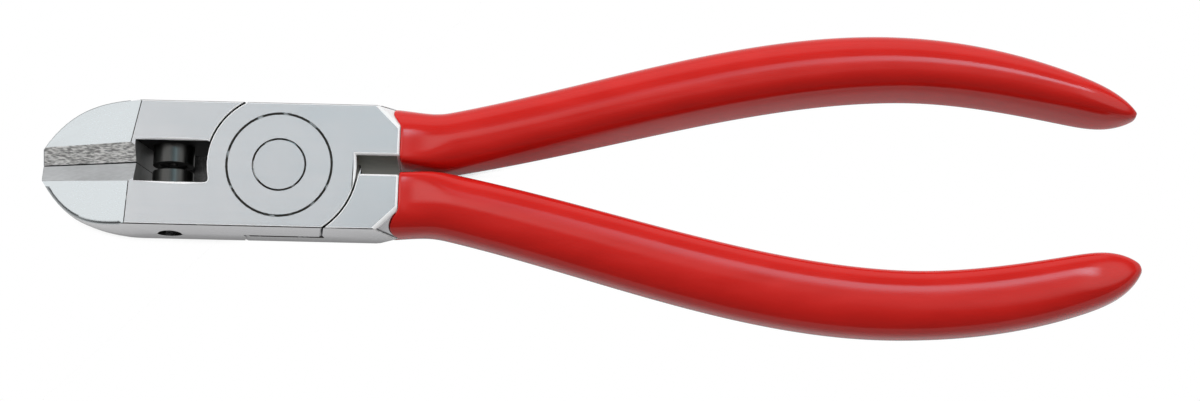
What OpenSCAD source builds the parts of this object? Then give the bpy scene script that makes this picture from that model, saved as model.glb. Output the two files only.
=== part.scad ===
// Seal pliers: a front cutter for the seal wire, a window behind it with two stamping dies
// that face each other, and two dip-coated handles on a riveted lap joint.
// The pivot axis is Z through the origin, the underside lies on z = 0, the handles point
// along +X, and the pliers are closed. The two levers are the same forging, one of them
// turned half round the X axis, so one has its jaw at -Y and the other at +Y.

/* [Head] */
// Thickness of the head
head_t = 9.5; // [8.5:0.1:11]
// Width of the head at half its thickness
head_w = 19.2; // [18.4:0.1:21]
// How far each side draws in from half thickness to the faces
side_draft = 0.35; // [0.2:0.05:0.6]
// Chamfer along the edges of the faces
edge_break = 0.15; // [0.1:0.05:0.5]
// Distance from the pivot back to the end of the shoulders
shoulder_x = 17.3; // [16.5:0.1:18.5]
// Length of the facet that takes off each shoulder's outer corner, along the head
corner_run = 3.2; // [2:0.1:4]
// Slope of the corner facets, from the faces
corner_slope = 63; // [50:1:75]

/* [Cutter] */
// Distance from the pivot forward to where the sides start to round in
round_x = 17.7; // [17.6:0.1:20]
// Fullness of a jaw's rounded side at its cheek's face, as the power of its curve in plan
cheek_face_power = 4.6; // [2.6:0.1:5]
// Fullness of a jaw's rounded side at the other face, as the power of its curve in plan
other_face_power = 3; // [2:0.1:4]
// Distance from the pivot forward to the tip
tip_x = 34.7; // [33:0.1:36]
// Width of the flat tip
tip_w = 4.6; // [4:0.1:6]
// Thickness of the tip between the nose's sloping facets
tip_t = 2.3; // [1.6:0.1:3]
// Distance from the pivot forward to the start of the sloping facets, beside the flanks
nose_x = 21.6; // [21.4:0.1:23]
// Turn of the upper jaw's facets, towards the pivot at the outside
upper_skew = 11; // [-5:1:14]
// Turn of the lower jaw's facets, towards the pivot at the outside
lower_skew = -3; // [-5:1:14]
// Gap between the closed cutting edges
edge_gap = 0.1; // [0.06:0.02:0.2]
// Depth of the cutting edges below the face, at the window
edge_drop = 0.9; // [0.7:0.05:1.2]
// Height of the cutting edges above the underside, at the tip
edge_tip_z = 5; // [4.6:0.1:5.4]
// Width of each ground flank beside the cutting edges
flank_w = 2.5; // [2:0.1:2.8]

/* [Seal window] */
// Distance from the pivot forward to the front of the window
window_x = 20.9; // [20.6:0.1:21.2]
// Distance of the lower jaw's wall from the middle of the window
lower_wall = 2.85; // [2.6:0.05:3.4]
// Distance of the upper jaw's wall from the middle of the window
upper_wall = 3.3; // [2.6:0.05:3.4]
// How far the front wall slopes into the window from face to face
ramp_run = 2.3; // [1:0.1:2.6]
// Radius of the window's rear corner in each jaw
window_r = 0.5; // [0.3:0.05:0.8]

/* [Stamping dies] */
// Diameter of the dies
die_d = 6; // [5:0.1:6.4]
// Distance from the pivot forward to the axis of the dies
die_x = 15.8; // [15.4:0.1:16.2]
// Gap between the faces of the dies when closed
die_gap = 0.94; // [0.6:0.02:1.4]
// Depth of each die's seat in the jaw's wall
seat_depth = 3; // [2.4:0.1:3.2]
// Diameter of the recess in each die's face
recess_d = 4.2; // [3:0.1:4.6]
// Depth of the recess in each die's face
recess_depth = 0.35; // [0.2:0.05:0.6]
// Diameter of the plain stud in the middle of the recess
stud_d = 1.4; // [0.8:0.1:2]

/* [Die screws] */
// Diameter of the screw heads
screw_head_d = 3.4; // [3:0.1:3.8]
// Height of the screw heads
screw_head_h = 1.5; // [1.2:0.1:1.7]
// Depth of the screw heads below the jaw's side
screw_sink = 0.9; // [0.6:0.1:1.1]
// Diameter of the screw shanks
screw_d = 2; // [1.6:0.1:2.4]
// Length of each screw shank inside its die
screw_grip = 2.2; // [1.6:0.1:2.4]
// Width across the flats of the key socket
key_w = 1.5; // [1.3:0.1:1.8]
// Depth of the key socket
key_depth = 0.9; // [0.6:0.1:1]

/* [Lap joint] */
// Radius of each cheek in front of the pivot
cheek_front_r = 10.45; // [10.1:0.05:10.6]
// Radius of each cheek behind the pivot
cheek_rear_r = 11.2; // [10.9:0.05:11.6]
// Width of the seam around the cheeks
seam = 0.25; // [0.2:0.05:0.4]
// Gap between the flat faces of the lap
lap_gap = 0.06; // [0.04:0.02:0.12]
// Diameter of the rivet's shank
rivet_d = 5; // [4:0.1:6]
// Diameter of the rivet's flush heads
rivet_head_d = 7.8; // [7:0.1:9]
// Height of the rivet's heads
rivet_head_h = 1.2; // [0.8:0.1:1.6]
// Radius of the circle engraved around the rivet
ring_r = 7.6; // [6.4:0.1:8.4]
// Width of the engraved circle
ring_w = 0.25; // [0.15:0.05:0.4]
// Depth of the engraved circle
ring_depth = 0.12; // [0.08:0.02:0.3]

/* [Handles] */
// Distance of a shoulder's inner side from the middle, at the face of its own cheek
slot_near = 1.75; // [1.2:0.05:2]
// Distance of a shoulder's inner side from the middle, at the other face
slot_far = 1; // [0.8:0.05:1.6]
// Distance from the shoulders back to the ends of the tangs
tang_l = 105.8; // [95:0.1:115]
// Distance from the shoulders back to where the handles are closest
waist_run = 7.7; // [6:0.1:10]
// Distance from the shoulders back to where the handles are widest apart
belly_run = 72.7; // [60:0.1:80]
// Distance of a tang's middle line from the axis, at the shoulder
root_y = 5; // [4.9:0.1:5.5]
// Distance of a tang's middle line from the axis, where the handles are closest
waist_y = 5; // [4.8:0.1:5.5]
// Distance of a tang's middle line from the axis, where the handles are widest apart
belly_y = 17.8; // [15:0.1:20]
// Distance of a tang's middle line from the axis, at its end
end_y = 12; // [10:0.1:15]
// Width of a tang where it leaves the shoulder
root_w = 5.1; // [4.4:0.1:5.4]
// Width of a tang where the handles are closest
waist_w = 5.1; // [4.4:0.1:5.6]
// Width of a tang where the handles are widest apart
belly_w = 5.6; // [5:0.1:6.6]
// Width of a tang near its end
end_w = 2.5; // [2:0.1:5]
// Thickness of the plastic coat on the upper handle
upper_coat = 1.8; // [1.2:0.05:2.2]
// Thickness of the plastic coat on the lower handle
lower_coat = 2.1; // [1.6:0.05:2.2]
// Thickness of both coats where they meet the shoulders
root_coat = 1.7; // [1.2:0.05:2]
// Thickness of the upper handle's coat on the outer side of its end
upper_end_coat = 0.6; // [0.5:0.05:2.2]
// Thickness of the lower handle's coat on the outer side of its end
lower_end_coat = 1.9; // [0.5:0.05:2.2]
// Length of the rounded end of each grip
grip_end_l = 10; // [6:0.1:12]
// Lean of each grip's inner side away from the middle, as width over height
grip_lean = 0.24; // [0.08:0.01:0.26]
// Distance from the shoulders back to where the grips have that lean
lean_run = 36; // [20:1:60]

/* [Clearances] */
// Radial clearance of the rivet in both levers
rivet_fit = 0.04; // [0.02:0.01:0.08]
// Radial clearance of the dies in their seats
die_fit = 0.04; // [0.02:0.01:0.08]
// Radial clearance of the screws in the jaws and dies
screw_fit = 0.05; // [0.03:0.01:0.08]

/* [Hidden] */
$fn = 96;

STEEL = [0.78, 0.80, 0.81];
RIVET_STEEL = [0.74, 0.76, 0.78];
DIE_STEEL = [0.22, 0.22, 0.22];
SCREW_STEEL = [0.30, 0.29, 0.27];
RED_COAT = [0.82, 0.15, 0.12];

// Overrun of cutting shapes past the faces they cut
over = 1;
// Step along a handle that gives its direction
step = 0.01;
mid_z = head_t / 2;
half_w = head_w / 2;
face_w = half_w - side_draft;
lap_z = mid_z + lap_gap / 2;

// Points along the nose's outline, and how far it starts outside the head's side
nose_steps = 20;
nose_margin = 0.02;
// Half width of the head where its drafted sides would meet the faces
nose_face_w = half_w - side_draft * mid_z / (mid_z - edge_break);
// The facets fall from the faces to the tip
nose_slope = atan((head_t - tip_t) / 2 / (tip_x - nose_x));
// The cutting edge falls from the window to the tip, and the flanks rise from it
edge_slope = atan((head_t - edge_drop - edge_tip_z) / (tip_x - window_x));
flank_slope = atan(edge_drop / flank_w);

// The tang is as much thinner than the head as the thicker coat needs on both faces
tang_t = head_t - 2 * max(upper_coat, lower_coat);
tang_end_x = shoulder_x + tang_l;
// How far a tang starts inside its shoulder
tang_root = 2;
// Slopes of a tang's middle line where it leaves the waist and at its end
waist_lean = 0.203;
end_lean = -0.34;
// Growth of a tang's half width behind the waist, behind the belly and at its end
waist_flare = 0.012;
belly_taper = -0.025;
end_taper = -0.16;
// Middle line and half width of a tang: [x, y, slope of y, half width, slope of half width]
tang_knots = [
  [shoulder_x, root_y, 0, root_w / 2, 0],
  [shoulder_x + waist_run, waist_y, waist_lean, waist_w / 2, waist_flare],
  [shoulder_x + belly_run, belly_y, 0, belly_w / 2, belly_taper],
  [tang_end_x, end_y, end_lean, end_w / 2, end_taper]
];
// Rings along a tang and along the rounded end of a grip, and points around each
tang_rings = 30;
end_rings = 7;
ring_points = 24;
// Length of the rounded end of a tang
tang_tip_l = 2.5;
// Powers of the section curves: tang all round, grip outside, grip inside and at its mouth
tang_power = 4;
grip_outer_power = 2.3;
grip_inner_power = 3;
grip_mouth_power = 6;
// The inner sides of shoulders and grips lean alike where they meet
inner_lean = (slot_near - slot_far) / head_t;
// How far a grip's inner side stands out at its lower edge, over half its thickness
grip_foot = 0.15;
// Powers of the curve that draws a grip's end in, along the grip and across it
grip_end_power = 4;
grip_end_round = 0.75;

// Index of the span between two knots that holds x
function span(x, i = 0) =
  i >= len(tang_knots) - 2 || x < tang_knots[i + 1][0] ? i : span(x, i + 1);

// Cubic through the knots, for the column col with its slopes in the column after it,
// straight on inside the shoulder
function along(x, col) =
  let (i = span(x), a = tang_knots[i], b = tang_knots[i + 1],
       l = b[0] - a[0], t = max(0, x - a[0]) / l)
  (1 + 2 * t) * (1 - t)^2 * a[col] + t * (1 - t)^2 * l * a[col + 1]
  + t^2 * (3 - 2 * t) * b[col] + t^2 * (t - 1) * l * b[col + 1];

// Direction of the middle line at x, in plan
function heading(x) = atan((along(x + step, 1) - along(x - step, 1)) / (2 * step));

// Signed power, for rounded section curves
function curve(v, power) = sign(v) * abs(v)^(2 / power);

// One section ring at x: half widths outside and inside, half thickness t, with its own power
// on the inside, which stands out by foot at the underside and leans back from there
function section_ring(x, outer_w, inner_w, t, outer_power, inner_power, foot = 0, lean = 0) =
  let (turn = heading(x), y = along(x, 1))
  [for (k = [0:ring_points - 1])
    let (a = 360 * k / ring_points,
         power = cos(a) > 0 ? outer_power : inner_power,
         z = t * curve(sin(a), power),
         q = curve(cos(a), power) * (cos(a) > 0 ? outer_w : inner_w + foot * t - lean * (t + z)))
    [x - q * sin(turn), y + q * cos(turn), mid_z + z]];

// Solid through a list of section rings, with flat ends
module loft(rings) {
  n = len(rings[0]);
  last = len(rings) - 1;
  sides = [for (r = [0:last - 1], k = [0:n - 1])
    let (m = (k + 1) % n, a = r * n + k, b = r * n + m, c = a + n, d = b + n)
    each [[a, c, b], [b, c, d]]];
  front = [for (k = [0:n - 1]) k];
  back = [for (k = [n - 1:-1:0]) last * n + k];
  polyhedron(points = [for (r = rings) each r], faces = concat(sides, [front, back]), convexity = 6);
}

// Turns a piece of the lever with its jaw at -Y into that of the other lever
module other_lever() {
  translate([0, 0, head_t]) rotate([180, 0, 0]) children();
}

// Cylinder along Y from y0 to y1, on the axis of the dies
module die_axis_cylinder(y0, y1, d, sides = $fn) {
  translate([-die_x, y0, mid_z]) rotate([-90, 0, 0]) cylinder(d = d, h = y1 - y0, $fn = sides);
}

// Forged steel pieces

// Bar of the head's cross-section, with drafted sides and broken edges
module head_bar(x0, x1) {
  translate([x0, 0, 0]) rotate([90, 0, 90]) linear_extrude(x1 - x0) polygon([
    [-face_w + edge_break, 0], [face_w - edge_break, 0], [face_w, edge_break],
    [half_w, mid_z], [face_w, head_t - edge_break], [face_w - edge_break, head_t],
    [-face_w + edge_break, head_t], [-face_w, head_t - edge_break],
    [-half_w, mid_z], [-face_w, edge_break]]);
}

// Outline of the nose at height z, from half width w on rounded in to the flat tip
function nose_ring(z, w, power) =
  let (start = w + nose_margin,
       side = concat([[over - round_x, start]],
         [for (k = [0:nose_steps])
           let (u = k / nose_steps)
           [-round_x - u * (tip_x - round_x), tip_w / 2 + (start - tip_w / 2) * (1 - u^power)]]))
  concat([for (p = side) [p[0], p[1], z]],
         [for (k = [len(side) - 1:-1:0]) [side[k][0], -side[k][1], z]]);

// Bounds of the head and of the nose in front of it, whose sides are drafted like the head's
module nose_bounds() {
  translate([-round_x, -head_w, -over]) cube([round_x + shoulder_x + over, 2 * head_w, head_t + 2 * over]);
  loft([nose_ring(0, nose_face_w, other_face_power),
        nose_ring(mid_z, half_w, (other_face_power + cheek_face_power) / 2),
        nose_ring(head_t, nose_face_w, cheek_face_power)]);
}

// Plan of the jaw, which the nose's bounds round in
module jaw_plan() {
  translate([-tip_x, -head_w]) square([tip_x, head_w - edge_gap / 2]);
}

// Plan of the lever in the half of the thickness that holds its cheek
module cheek_side_plan() {
  jaw_plan();
  intersection() {
    circle(cheek_front_r);
    translate([-nose_x, -head_w]) square([nose_x, 2 * head_w]);
  }
  intersection() {
    circle(cheek_rear_r);
    translate([0, -head_w]) square([shoulder_x, 2 * head_w]);
  }
  square([shoulder_x, head_w]);
}

// Plan of the lever in the half of the thickness that holds the other lever's cheek
module jaw_side_plan() {
  difference() {
    jaw_plan();
    circle(cheek_front_r + seam);
  }
  difference() {
    square([shoulder_x, head_w]);
    circle(cheek_rear_r + seam);
  }
}

// Plan of the window, with the rear corner at the jaw's wall rounded
module window_plan(wall) {
  corner_y = window_r - wall;
  corner_x = -sqrt((cheek_front_r + window_r)^2 - corner_y^2);
  translate([-window_x, -wall]) square([window_x + corner_x, wall + over]);
  difference() {
    translate([-window_x, corner_y]) square([window_x, over - corner_y]);
    circle(cheek_front_r);
  }
  translate([corner_x, corner_y]) circle(window_r);
}

// Window through the jaw, whose front wall slopes in towards the underside
module window(wall) {
  difference() {
    translate([0, 0, -over]) linear_extrude(head_t + 2 * over) window_plan(wall);
    translate([-window_x, 0, head_t]) rotate([0, -atan(ramp_run / head_t), 0])
      translate([-head_t, -head_w, -2 * head_t]) cube([head_t, 2 * head_w, 2 * head_t]);
  }
}

// What the grinding wheel takes off above one jaw's sloping facet
module facet_cut(skew) {
  translate([-nose_x, -flank_w, head_t]) rotate([0, -nose_slope, skew])
    translate([-head_w, -head_w, 0]) cube([head_w, 2 * head_w, head_t]);
}

// Both sloping facets of the jaw at -Y
module nose_cuts(skew) {
  facet_cut(skew);
  translate([0, 0, head_t]) mirror([0, 0, 1]) facet_cut(skew);
}

// What the grinding wheel takes off above one flank of the cutting edge
module flank_cut() {
  translate([-tip_x, 0, edge_tip_z]) rotate([0, -edge_slope, 0]) rotate([-flank_slope, 0, 0])
    translate([-over, -head_w, 0])
    cube([(tip_x - window_x) / cos(edge_slope) + 2 * over, head_w, head_t]);
}

// Facet that takes off the shoulder's outer corner, from the upper face down
module corner_cut() {
  translate([shoulder_x - corner_run, face_w, head_t]) rotate([0, 0, -45])
    rotate([90 - corner_slope, 0, 0]) translate([-head_w, 0, -2 * head_t])
    cube([2 * head_w, head_w, 3 * head_t]);
}

// Slot behind the cheek, beside the drafted inner side of the shoulder
module slot_cut() {
  difference() {
    translate([0, slot_far, 0]) rotate([-atan((slot_near - slot_far) / head_t), 0, 0])
      translate([0, -head_w, -over]) cube([shoulder_x + over, head_w, head_t + 3 * over]);
    translate([0, 0, -2 * over]) cylinder(r = cheek_rear_r, h = head_t + 4 * over);
  }
}

// Steel bar inside a handle
module tang() {
  tip_start = tang_end_x - tang_tip_l;
  x0 = shoulder_x - tang_root;
  loft(concat(
    [for (k = [0:tang_rings - 1])
      let (x = x0 + (tip_start - x0) * k / (tang_rings - 1))
      section_ring(x, along(x, 3), along(x, 3), tang_t / 2, tang_power, tang_power)],
    [for (k = [1:end_rings - 1])
      let (u = sin(90 * k / end_rings), x = tip_start + tang_tip_l * u, s = sqrt(1 - u^2),
           w = along(x, 3) * s)
      section_ring(x, w, w, tang_t / 2 * s, tang_power, tang_power)]));
}

// Seat of a die, hole for its screw's shank and counterbore for the screw's head
module die_holes(wall) {
  seat_y = wall + seat_depth;
  head_y = half_w - screw_sink - screw_head_h;
  die_axis_cylinder(-seat_y, 0, die_d + 2 * die_fit);
  die_axis_cylinder(-half_w, -wall, screw_d + 2 * screw_fit);
  die_axis_cylinder(-half_w - over, -head_y, screw_head_d + 2 * screw_fit);
}

// Hole for the rivet's shank, with counterbores for its flush heads
module rivet_holes() {
  translate([0, 0, -over]) cylinder(d = rivet_d + 2 * rivet_fit, h = head_t + 2 * over);
  translate([0, 0, head_t - rivet_head_h - rivet_fit])
    cylinder(d = rivet_head_d + 2 * rivet_fit, h = rivet_head_h + over);
}

// Plain circle engraved around the rivet
module engraved_ring() {
  translate([0, 0, head_t - ring_depth]) difference() {
    cylinder(r = ring_r + ring_w / 2, h = ring_depth + over);
    translate([0, 0, -over]) cylinder(r = ring_r - ring_w / 2, h = ring_depth + 3 * over);
  }
}

// A lever with its jaw at -Y and its cheek in the upper half of the thickness, before its
// window is cut and its nose is ground
module lever(wall) {
  difference() {
    intersection() {
      head_bar(-tip_x, shoulder_x);
      nose_bounds();
      union() {
        translate([0, 0, lap_z]) linear_extrude(head_t - lap_z) cheek_side_plan();
        linear_extrude(lap_z) jaw_side_plan();
      }
    }
    die_holes(wall);
    rivet_holes();
    slot_cut();
    corner_cut();
    translate([0, 0, head_t]) mirror([0, 0, 1]) corner_cut();
  }
  tang();
}

module top_lap_lever() {
  color(STEEL) difference() {
    lever(lower_wall);
    window(lower_wall);
    nose_cuts(lower_skew);
    flank_cut();
    engraved_ring();
  }
}

module bottom_lap_lever() {
  color(STEEL) difference() {
    other_lever() lever(upper_wall);
    mirror([0, 1, 0]) {
      window(upper_wall);
      nose_cuts(upper_skew);
      flank_cut();
    }
  }
}

// Rivet that holds the lap joint, with a head sunk flush in each cheek
module pivot_rivet() {
  color(RIVET_STEEL) {
    cylinder(d = rivet_d, h = head_t);
    cylinder(d = rivet_head_d, h = rivet_head_h);
    translate([0, 0, head_t - rivet_head_h]) cylinder(d = rivet_head_d, h = rivet_head_h);
  }
}

// Hardened inserts

// Stamping die in the jaw at -Y, with a recessed face and a threaded back
module seal_die(wall) {
  color(DIE_STEEL) difference() {
    die_axis_cylinder(-wall - seat_depth, -die_gap / 2, die_d);
    difference() {
      die_axis_cylinder(-die_gap / 2 - recess_depth, 0, recess_d);
      die_axis_cylinder(-die_gap / 2 - recess_depth - over, over, stud_d);
    }
    die_axis_cylinder(-half_w, screw_grip + screw_fit - wall - seat_depth, screw_d + 2 * screw_fit);
  }
}

// Screw that draws a die into its seat, from the jaw's side
module die_screw(wall) {
  head_y = half_w - screw_sink - screw_head_h;
  color(SCREW_STEEL) difference() {
    union() {
      die_axis_cylinder(-head_y - screw_head_h, -head_y, screw_head_d);
      die_axis_cylinder(-head_y - screw_head_h / 2, screw_grip - wall - seat_depth, screw_d);
    }
    die_axis_cylinder(-half_w, key_depth - head_y - screw_head_h, key_w / cos(30), 6);
  }
}

module upper_seal_die() { other_lever() seal_die(upper_wall); }
module lower_seal_die() { seal_die(lower_wall); }
module upper_die_screw() { other_lever() die_screw(upper_wall); }
module lower_die_screw() { die_screw(lower_wall); }

// Dipped plastic handles

// Value at x that changes smoothly from a first one at x0 to a last one at x1
function blend(x, x0, x1, first, last) =
  let (u = min(1, max(0, (x - x0) / (x1 - x0))))
  first + (last - first) * u^2 * (3 - 2 * u);

// Section of a grip at x, with what its rounded end leaves of the width and of the thickness
function grip_ring(x, coat, end_coat, left_w = 1, left_t = 1) =
  let (w = along(x, 3),
       waist_x = shoulder_x + waist_run,
       c = blend(x, shoulder_x, waist_x, root_coat, coat),
       outside = c + blend(x, shoulder_x + belly_run, tang_end_x, 0, end_coat - coat),
       inner_power = blend(x, shoulder_x, waist_x, grip_mouth_power, grip_inner_power),
       foot = blend(x, shoulder_x, shoulder_x + lean_run, inner_lean, grip_foot),
       lean = blend(x, shoulder_x, shoulder_x + lean_run, inner_lean, grip_lean))
  section_ring(x, (w + outside) * left_w, (w + c) * left_w, (tang_t / 2 + c) * left_t,
               grip_outer_power, inner_power, foot * left_w, lean * left_w);

// Plastic coat on a tang at +Y, from the shoulder to past the tang's end
module grip(coat, end_coat) {
  end_start = tang_end_x + coat - grip_end_l;
  color(RED_COAT) difference() {
    loft(concat(
      [for (k = [0:tang_rings - 1])
        grip_ring(shoulder_x + (end_start - shoulder_x) * k / (tang_rings - 1), coat, end_coat)],
      [for (k = [1:end_rings - 1])
        let (u = sin(90 * k / end_rings))
        grip_ring(end_start + grip_end_l * u, coat, end_coat,
                  (1 - u^grip_end_power)^grip_end_round, sqrt(1 - u^2))]));
    tang();
  }
}

module upper_grip() { grip(upper_coat, upper_end_coat); }
module lower_grip() { other_lever() grip(lower_coat, lower_end_coat); }

top_lap_lever();
bottom_lap_lever();
pivot_rivet();
upper_seal_die();
lower_seal_die();
upper_die_screw();
lower_die_screw();
upper_grip();
lower_grip();
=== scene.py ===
"""Looks of the closed seal pliers: polished levers, dark dies, a flush rivet and red dipped grips.

Sizes in the classes are in millimetres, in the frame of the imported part: the pivot axis is Z
through the origin, the handles point along +X and the underside lies on z = 0.
"""

import logging
import math
from abc import ABC, abstractmethod
from contextlib import contextmanager
from dataclasses import dataclass
from enum import Enum
from typing import Any, Callable, ClassVar, Iterator, NamedTuple

import bmesh
import bpy
from bmesh.types import BMEdge, BMesh
from bpy.types import Material, Node, NodeSocket, NodeTree, Object
from mathutils import Matrix, Vector


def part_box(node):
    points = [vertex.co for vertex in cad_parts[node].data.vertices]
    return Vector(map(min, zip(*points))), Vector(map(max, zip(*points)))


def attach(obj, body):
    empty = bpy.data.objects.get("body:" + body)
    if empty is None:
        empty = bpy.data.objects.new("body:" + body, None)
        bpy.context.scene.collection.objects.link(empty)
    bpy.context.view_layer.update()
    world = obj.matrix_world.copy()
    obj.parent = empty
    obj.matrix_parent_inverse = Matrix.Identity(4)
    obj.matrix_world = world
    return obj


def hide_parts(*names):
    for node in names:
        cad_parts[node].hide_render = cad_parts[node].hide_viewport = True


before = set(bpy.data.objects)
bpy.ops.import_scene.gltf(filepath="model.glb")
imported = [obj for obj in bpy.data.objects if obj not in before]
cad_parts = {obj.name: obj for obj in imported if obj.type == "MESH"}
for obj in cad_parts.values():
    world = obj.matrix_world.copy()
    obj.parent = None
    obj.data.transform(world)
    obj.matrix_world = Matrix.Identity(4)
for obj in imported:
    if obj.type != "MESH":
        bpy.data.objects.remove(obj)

LOG = logging.getLogger("seal_pliers")
MM = 0.001

# Part of a unit normal from which a face counts as square to an axis
SQUARE = 0.9
# Edges of turned pieces, in degrees: rounded above the first angle, shaded smooth below the second
ROUNDED_ABOVE = 40.0
SMOOTH_BELOW = 30.0
# The range that noise mostly stays in
NOISE_RANGE = (0.3, 0.7)

Colour = tuple[float, float, float]
Stretch = tuple[float, float, float]
Steps = tuple[tuple[float, float], ...]


class Body(Enum):
    """The two halves that turn about the pivot."""

    BOTTOM = "bottom_half"
    TOP = "top_half"


class Slot(Enum):
    """Material slots of the record."""

    STEEL = "polished_steel"
    RIVET = "rivet_steel"
    DIE = "die_steel"
    SCREW = "screw_steel"
    COAT = "red_coat"


class Zone(Enum):
    """Surfaces of a lever that get different finishes, some of them painted highlights and painted shade.
    """

    FACE = 0
    NOSE = 1
    ROUGH_FLANK = 2
    FINE_FLANK = 3
    # Window walls, the screw hole and the dies' stamping faces, painted near-black as shade
    WELL = 4
    SLOT = 5
    # The engraved ring and the joints, and painted shade along the near rim and the nose line
    GROOVE = 6
    # EDGE: roundings and the top shoulder's corner facets, painted near-white as highlights
    EDGE = 7
    # The sloping wall at the window's front, steel darkened as painted shade
    RAMP = 8


class Part(Enum):
    """What is picked in edit mode."""

    FACE = "faces"
    EDGE = "edges"


@dataclass(frozen=True)
class HeadSizes:
    """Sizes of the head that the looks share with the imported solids, in millimetres."""

    thickness: float = 9.5
    face_half_width: float = 9.25
    shoulder_x: float = 17.3
    corner_run: float = 3.2
    corner_slope: float = 63.0
    nose_x: float = 21.6
    window_x: float = 20.9
    ramp_run: float = 2.3
    die_x: float = 15.8
    screw_hole_r: float = 1.75
    screw_hole_y: float = 7.0
    cheek_front_r: float = 10.45
    cheek_rear_r: float = 11.2
    ring_r: float = 7.6
    ring_w: float = 0.25
    slot_near: float = 1.75
    slot_far: float = 1.0

    @property
    def middle(self) -> float:
        """Height of the lap between the two levers."""
        return self.thickness / 2

    @property
    def corner_x(self) -> float:
        """Where a shoulder's outer corner starts on the face."""
        return self.shoulder_x - self.corner_run

    @property
    def inner_lean(self) -> float:
        """Lean of the inner sides of shoulders and grips."""
        return (self.slot_near - self.slot_far) / self.thickness

    def corner_facet_x(self, y: float, z: float) -> float:
        """Where the facet of a shoulder's outer corner lies, along the tool.

        Args:
            y: Distance outwards from the axis.
            z: Height above the middle.

        Returns:
            Distance from the pivot.
        """
        drop = self.middle - abs(z)
        fall = math.sqrt(2) / math.tan(math.radians(self.corner_slope))
        return self.corner_x + self.face_half_width - y + drop * fall


HEAD = HeadSizes()


class Knot(NamedTuple):
    """A place on a tang: offset from the axis and half width, each with its slope."""

    y: float
    y_slope: float
    half_w: float
    w_slope: float


@dataclass(frozen=True)
class HandleLine:
    """Middle line and half sizes of a tang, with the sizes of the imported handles."""

    length: float = 105.8
    half_t: float = 2.65
    waist_run: float = 7.7
    belly_run: float = 72.7
    root: Knot = Knot(5.0, 0.0, 2.55, 0.0)
    waist: Knot = Knot(5.0, 0.203, 2.55, 0.012)
    belly: Knot = Knot(17.8, 0.0, 2.8, -0.025)
    end: Knot = Knot(12.0, -0.34, 1.25, -0.16)

    @property
    def end_x(self) -> float:
        """Where the tang ends."""
        return HEAD.shoulder_x + self.length

    def at(self, x: float) -> tuple[float, float]:
        """Middle line and half width at a place.

        Args:
            x: Distance from the pivot.

        Returns:
            Offset from the axis and half width.
        """
        runs = (0.0, self.waist_run, self.belly_run, self.length)
        places = [HEAD.shoulder_x + run for run in runs]
        knots = (self.root, self.waist, self.belly, self.end)
        i = 0 if x < places[1] else 1 if x < places[2] else 2
        length = places[i + 1] - places[i]
        t = max(0.0, x - places[i]) / length
        start = (1 + 2 * t) * (1 - t) ** 2
        lean = t * (1 - t) ** 2 * length
        finish = t ** 2 * (3 - 2 * t)
        fall = t ** 2 * (t - 1) * length
        y, w = (start * knots[i][k] + lean * knots[i][k + 1]
                + finish * knots[i + 1][k] + fall * knots[i + 1][k + 1] for k in (0, 2))
        return y, w

    def heading(self, x: float, step: float = 0.01) -> float:
        """Direction of the middle line in plan, in radians."""
        return math.atan2(self.at(x + step)[0] - self.at(x - step)[0], 2 * step)


TANG = HandleLine()


class Bench:
    """Work on one piece at a time, with faces and edges picked in code."""

    def __init__(self, piece: Object) -> None:
        """Take a piece onto the bench."""
        self.piece = piece

    def take(self) -> None:
        """Make the piece the only selected and active one."""
        bpy.ops.object.select_all(action="DESELECT")
        self.piece.select_set(True)
        bpy.context.view_layer.objects.active = self.piece

    @contextmanager
    def editing(self) -> Iterator[None]:
        """Hold the piece in edit mode for a while."""
        self.take()
        bpy.ops.object.mode_set(mode="EDIT")
        yield
        bpy.ops.object.mode_set(mode="OBJECT")

    @contextmanager
    def mesh(self) -> Iterator[BMesh]:
        """Give the mesh that is in edit mode, and write its changes back."""
        mesh = bmesh.from_edit_mesh(self.piece.data)
        yield mesh
        bmesh.update_edit_mesh(self.piece.data)

    def pick(self, kind: Part, test: Callable[[Any], bool]) -> None:
        """Select the faces or the edges that pass a test, in edit mode.

        Args:
            kind: Faces or edges.
            test: Says of each one whether it is picked.
        """
        bpy.ops.mesh.select_mode(type=kind.name)
        bpy.ops.mesh.select_all(action="DESELECT")
        with self.mesh() as mesh:
            for part in getattr(mesh, kind.value):
                part.select_set(test(part))

    def pick_sharp(self) -> None:
        """Select the edges of a turned piece that are rounded."""
        self.pick(Part.EDGE, lambda edge: edge.calc_face_angle(0.0) > math.radians(ROUNDED_ABOVE))

    def split(self, x: float) -> None:
        """Cut all faces along a plane across the tool, and mark the cut as a seam.

        Args:
            x: Place of the plane in millimetres.
        """
        bpy.ops.mesh.select_all(action="SELECT")
        bpy.ops.mesh.bisect(plane_co=(x * MM, 0.0, 0.0), plane_no=(1.0, 0.0, 0.0))
        bpy.ops.mesh.mark_seam(clear=False)

    def push(self, y: float = 0.0, z: float = 0.0) -> None:
        """Extrude what is picked along Y and Z, by millimetres."""
        bpy.ops.mesh.extrude_region_move(TRANSFORM_OT_translate={"value": (0.0, y * MM, z * MM)})

    def round_edges(self, width: float, segments: int = 3, finish: int = -1) -> None:
        """Bevel the picked edges by millimetres, with a material index unless it is -1."""
        bpy.ops.mesh.bevel(offset=width * MM, segments=segments, affect="EDGES", material=finish)

    def modify(self, kind: str, **settings: Any) -> None:
        """Add a modifier and apply it.

        Args:
            kind: Blender's name of the modifier type.
            settings: Its properties.
        """
        self.take()
        modifier = self.piece.modifiers.new(kind.lower(), kind)
        for key, value in settings.items():
            setattr(modifier, key, value)
        bpy.ops.object.modifier_apply(modifier=modifier.name)

    def smooth(self, angle: float) -> None:
        """Shade smooth across edges below an angle in degrees."""
        self.take()
        bpy.ops.object.shade_smooth_by_angle(angle=math.radians(angle))

    def finish(self, angle: float = SMOOTH_BELOW) -> None:
        """Shade smooth across edges below an angle in degrees, with flat faces kept flat."""
        self.smooth(angle)
        self.modify("WEIGHTED_NORMAL", mode="FACE_AREA", keep_sharp=True)


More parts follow.
